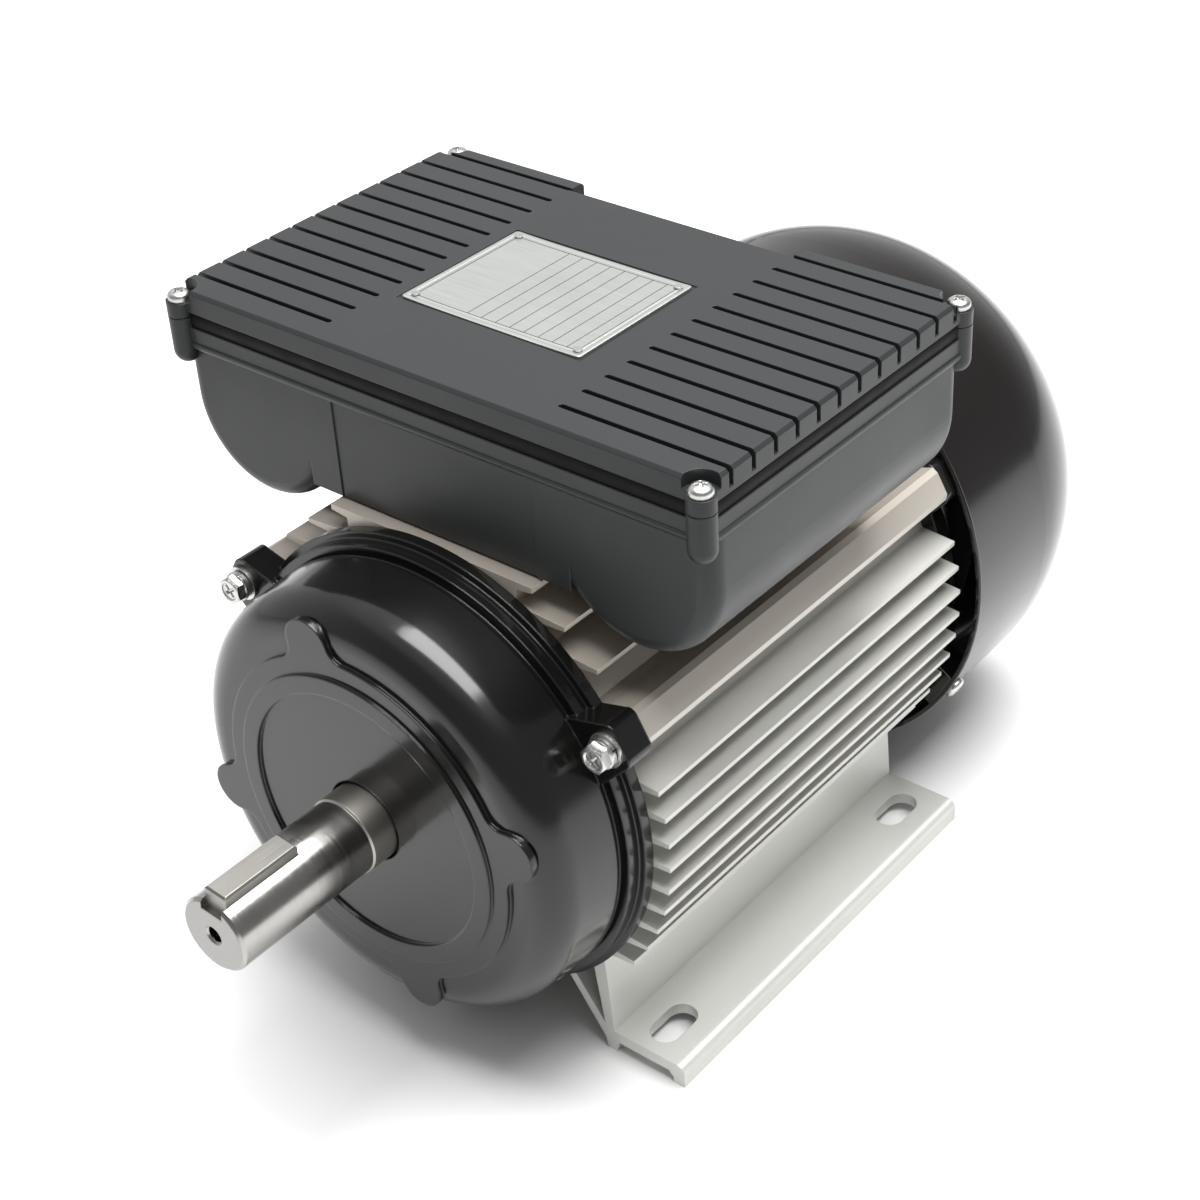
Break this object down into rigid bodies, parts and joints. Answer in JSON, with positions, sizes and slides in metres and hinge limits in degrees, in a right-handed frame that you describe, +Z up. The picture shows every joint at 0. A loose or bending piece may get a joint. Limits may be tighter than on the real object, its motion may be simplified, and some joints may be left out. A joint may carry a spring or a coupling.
{
  "type": "electric motor",
  "caption": "Foot-mounted single-phase induction motor with finned housing, fan cover, keyed shaft and a capacitor box under a grooved lid.",
  "frame": {"origin": "centre of the four foot slots, on the mounting plane", "axes": "+X out of the drive end along the shaft, +Z up, +Y across the feet"},
  "size_m": [0.3445, 0.1982, 0.2184],
  "materials": {
    "extruded_aluminium": "natural satin extrusion",
    "black_enamel": "gloss black enamel",
    "box_plastic": "satin moulded plastic",
    "ground_steel": "ground and polished",
    "zinc_steel": "bright zinc plate",
    "lamination_steel": "blued laminations",
    "enamelled_copper": "varnished winding",
    "cast_aluminium": "as cast",
    "bearing_steel": "hardened and ground",
    "brass": "plain",
    "black_rubber": "moulded",
    "black_plastic": "moulded",
    "white_plastic": "moulded",
    "resin_board": "moulded resin",
    "plate_aluminium": "brushed sheet"
  },
  "bodies": {
    "frame": {"housing": "extruded_aluminium", "stator_core": "lamination_steel", "stator_windings": "enamelled_copper", "winding_leads": "black_rubber", "drive_end_shield": "black_enamel", "rear_end_shield": "black_enamel", "tie_bolts": "zinc_steel", "tie_bolt_washers": "zinc_steel", "drive_bearing_outer": "bearing_steel", "rear_bearing_outer": "bearing_steel", "wave_washer": "bearing_steel", "shaft_seal": "black_rubber", "fan_cover": "black_enamel", "fan_cover_screws": "zinc_steel", "switch_board": "resin_board", "switch_arm_pin": "bearing_steel", "switch_contact": "brass", "capacitor_box": "box_plastic", "box_gasket": "black_rubber", "box_screws": "zinc_steel", "box_lid": "box_plastic", "lid_seal": "black_rubber", "lid_screws": "zinc_steel", "start_capacitor": "black_plastic", "run_capacitor": "white_plastic", "capacitor_clips": "zinc_steel", "terminal_board": "resin_board", "terminal_studs": "brass", "terminal_links": "brass", "earth_screw": "brass", "lead_grommet": "black_rubber", "nameplate": "plate_aluminium", "nameplate_rivets": "plate_aluminium", "gland_body": "black_plastic", "gland_nut": "black_plastic", "gland_locknut": "black_plastic", "gland_seal": "black_rubber"},
    "rotor": {"shaft": "ground_steel", "shaft_key": "ground_steel", "rotor_core": "lamination_steel", "rotor_cage": "cast_aluminium", "fan": "black_plastic", "fan_clip": "bearing_steel", "drive_bearing_inner": "bearing_steel", "rear_bearing_inner": "bearing_steel", "governor_base": "brass", "governor_pins": "bearing_steel"},
    "drive_ball_train": {"drive_bearing_balls": "bearing_steel", "drive_bearing_cage": "brass"},
    "rear_ball_train": {"rear_bearing_balls": "bearing_steel", "rear_bearing_cage": "brass"},
    "sleeve": {"governor_sleeve": "white_plastic"},
    "weight_upper": {"governor_weight_upper": "zinc_steel"},
    "weight_lower": {"governor_weight_lower": "zinc_steel"},
    "contact_arm": {"switch_arm": "brass"}
  },
  "joints": [
    {"name": "rotor_spin", "type": "hinge", "parent": "frame", "child": "rotor", "pos_m": [0, 0, 0.09], "axis": [1, 0, 0], "continuous": true},
    {"name": "drive_balls_spin", "type": "hinge", "parent": "frame", "child": "drive_ball_train", "pos_m": [0.09, 0, 0.09], "axis": [1, 0, 0], "continuous": true},
    {"name": "rear_balls_spin", "type": "hinge", "parent": "frame", "child": "rear_ball_train", "pos_m": [-0.0875, 0, 0.09], "axis": [1, 0, 0], "continuous": true},
    {"name": "sleeve_slide", "type": "slide", "parent": "rotor", "child": "sleeve", "axis": [1, 0, 0], "range_m": [0, 0.0025]},
    {"name": "weight_upper_swing", "type": "hinge", "parent": "rotor", "child": "weight_upper", "pos_m": [-0.072, 0, 0.114], "axis": [0, 1, 0], "range_deg": [-20.5, 0]},
    {"name": "weight_lower_swing", "type": "hinge", "parent": "rotor", "child": "weight_lower", "pos_m": [-0.072, 0, 0.066], "axis": [0, 1, 0], "range_deg": [0, 20.5]},
    {"name": "contact_arm_swing", "type": "hinge", "parent": "frame", "child": "contact_arm", "pos_m": [-0.0778, 0.046, 0.09], "axis": [0, 0, 1], "range_deg": [0, 5.4]}
  ],
  "couplings": [
    {"joint": "drive_balls_spin", "follows": "rotor_spin", "ratio": 0.398},
    {"joint": "rear_balls_spin", "follows": "rotor_spin", "ratio": 0.398},
    {"joint": "weight_upper_swing", "follows": "sleeve_slide", "rad_per_m": -140.8},
    {"joint": "weight_lower_swing", "follows": "sleeve_slide", "rad_per_m": 140.8},
    {"joint": "contact_arm_swing", "follows": "sleeve_slide", "rad_per_m": 35.7}
  ]
}
